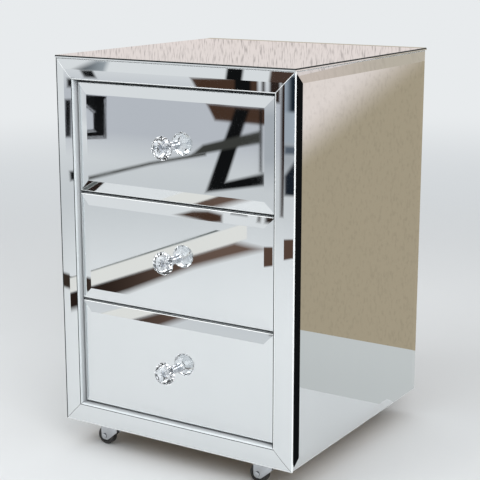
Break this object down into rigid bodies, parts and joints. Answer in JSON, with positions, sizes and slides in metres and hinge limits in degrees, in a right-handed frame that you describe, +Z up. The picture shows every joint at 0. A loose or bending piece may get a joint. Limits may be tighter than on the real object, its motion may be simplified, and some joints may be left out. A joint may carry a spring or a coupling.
{
  "type": "mirrored chest of drawers",
  "caption": "Straight-sided bedside chest with bevelled mirror cladding, recessed sliding drawers, faceted crystal knobs and swivel casters.",
  "frame": {"origin": "on the floor below the middle of the whole chest, knobs included", "axes": "+Z up, drawers face and pull out along -Y, +X to the right seen from the front"},
  "size_m": [0.45, 0.49, 0.672],
  "materials": {
    "mirror_glass": "silvered float glass, polished bevels",
    "crystal": "cut and polished facets",
    "knob_metal": "plated, turned",
    "caster_metal": "plated pressed steel",
    "wheel_plastic": "moulded, semi gloss",
    "runner_steel": "zinc plated roll formed steel",
    "screw_steel": "zinc plated",
    "painted_board": "fibreboard, satin grey paint",
    "drawer_board": "fibreboard, pale laminate",
    "carcase_board": "bare fibreboard"
  },
  "bodies": {
    "cabinet": {"back_panel": "carcase_board", "bottom_panel": "carcase_board", "caster_plates": "caster_metal", "caster_screws": "screw_steel", "frame_mirror_bottom": "mirror_glass", "frame_mirror_left": "mirror_glass", "frame_mirror_right": "mirror_glass", "frame_mirror_top": "mirror_glass", "frame_rails": "painted_board", "frame_stiles": "painted_board", "side_mirror_left": "mirror_glass", "side_mirror_right": "mirror_glass", "side_panel_left": "carcase_board", "side_panel_right": "carcase_board", "slide_cabinet_members": "runner_steel", "slide_packers": "carcase_board", "top_mirror": "mirror_glass", "top_panel": "carcase_board"},
    "bottom_carriers": {"bottom_drawer_slide_carriers": "runner_steel"},
    "bottom_drawer": {"bottom_drawer_back": "drawer_board", "bottom_drawer_bottom": "drawer_board", "bottom_drawer_front": "painted_board", "bottom_drawer_mirror": "mirror_glass", "bottom_drawer_sides": "drawer_board", "bottom_drawer_slide_members": "runner_steel", "bottom_knob": "crystal", "bottom_knob_base": "knob_metal", "bottom_knob_screw": "screw_steel"},
    "middle_carriers": {"middle_drawer_slide_carriers": "runner_steel"},
    "middle_drawer": {"middle_drawer_back": "drawer_board", "middle_drawer_bottom": "drawer_board", "middle_drawer_front": "painted_board", "middle_drawer_mirror": "mirror_glass", "middle_drawer_sides": "drawer_board", "middle_drawer_slide_members": "runner_steel", "middle_knob": "crystal", "middle_knob_base": "knob_metal", "middle_knob_screw": "screw_steel"},
    "top_carriers": {"top_drawer_slide_carriers": "runner_steel"},
    "top_drawer": {"top_drawer_back": "drawer_board", "top_drawer_bottom": "drawer_board", "top_drawer_front": "painted_board", "top_drawer_mirror": "mirror_glass", "top_drawer_sides": "drawer_board", "top_drawer_slide_members": "runner_steel", "top_knob": "crystal", "top_knob_base": "knob_metal", "top_knob_screw": "screw_steel"},
    "caster_front_left_swivel": {"caster_front_left_fork": "caster_metal", "caster_front_left_axle": "caster_metal"},
    "caster_front_left_roller": {"caster_front_left_wheel": "wheel_plastic"},
    "caster_front_right_swivel": {"caster_front_right_fork": "caster_metal", "caster_front_right_axle": "caster_metal"},
    "caster_front_right_roller": {"caster_front_right_wheel": "wheel_plastic"},
    "caster_back_left_swivel": {"caster_back_left_fork": "caster_metal", "caster_back_left_axle": "caster_metal"},
    "caster_back_left_roller": {"caster_back_left_wheel": "wheel_plastic"},
    "caster_back_right_swivel": {"caster_back_right_fork": "caster_metal", "caster_back_right_axle": "caster_metal"},
    "caster_back_right_roller": {"caster_back_right_wheel": "wheel_plastic"}
  },
  "joints": [
    {"name": "bottom_drawer_slide", "type": "slide", "parent": "cabinet", "child": "bottom_drawer", "axis": [0, -1, 0], "range_m": [0, 0.3]},
    {"name": "bottom_carrier_slide", "type": "slide", "parent": "cabinet", "child": "bottom_carriers", "axis": [0, -1, 0], "range_m": [0, 0.15]},
    {"name": "middle_drawer_slide", "type": "slide", "parent": "cabinet", "child": "middle_drawer", "axis": [0, -1, 0], "range_m": [0, 0.3]},
    {"name": "middle_carrier_slide", "type": "slide", "parent": "cabinet", "child": "middle_carriers", "axis": [0, -1, 0], "range_m": [0, 0.15]},
    {"name": "top_drawer_slide", "type": "slide", "parent": "cabinet", "child": "top_drawer", "axis": [0, -1, 0], "range_m": [0, 0.3]},
    {"name": "top_carrier_slide", "type": "slide", "parent": "cabinet", "child": "top_carriers", "axis": [0, -1, 0], "range_m": [0, 0.15]},
    {"name": "caster_front_left_turn", "type": "hinge", "parent": "cabinet", "child": "caster_front_left_swivel", "pos_m": [-0.155, -0.175, 0.04], "axis": [0, 0, 1], "continuous": true},
    {"name": "caster_front_left_roll", "type": "hinge", "parent": "caster_front_left_swivel", "child": "caster_front_left_roller", "pos_m": [-0.166, -0.175, 0.016], "axis": [0, 1, 0], "continuous": true},
    {"name": "caster_front_right_turn", "type": "hinge", "parent": "cabinet", "child": "caster_front_right_swivel", "pos_m": [0.155, -0.175, 0.04], "axis": [0, 0, 1], "continuous": true},
    {"name": "caster_front_right_roll", "type": "hinge", "parent": "caster_front_right_swivel", "child": "caster_front_right_roller", "pos_m": [0.144, -0.175, 0.016], "axis": [0, 1, 0], "continuous": true},
    {"name": "caster_back_left_turn", "type": "hinge", "parent": "cabinet", "child": "caster_back_left_swivel", "pos_m": [-0.155, 0.205, 0.04], "axis": [0, 0, 1], "continuous": true},
    {"name": "caster_back_left_roll", "type": "hinge", "parent": "caster_back_left_swivel", "child": "caster_back_left_roller", "pos_m": [-0.166, 0.205, 0.016], "axis": [0, 1, 0], "continuous": true},
    {"name": "caster_back_right_turn", "type": "hinge", "parent": "cabinet", "child": "caster_back_right_swivel", "pos_m": [0.155, 0.205, 0.04], "axis": [0, 0, 1], "continuous": true},
    {"name": "caster_back_right_roll", "type": "hinge", "parent": "caster_back_right_swivel", "child": "caster_back_right_roller", "pos_m": [0.144, 0.205, 0.016], "axis": [0, 1, 0], "continuous": true}
  ],
  "couplings": [
    {"joint": "bottom_carrier_slide", "follows": "bottom_drawer_slide", "ratio": 0.5},
    {"joint": "middle_carrier_slide", "follows": "middle_drawer_slide", "ratio": 0.5},
    {"joint": "top_carrier_slide", "follows": "top_drawer_slide", "ratio": 0.5}
  ]
}
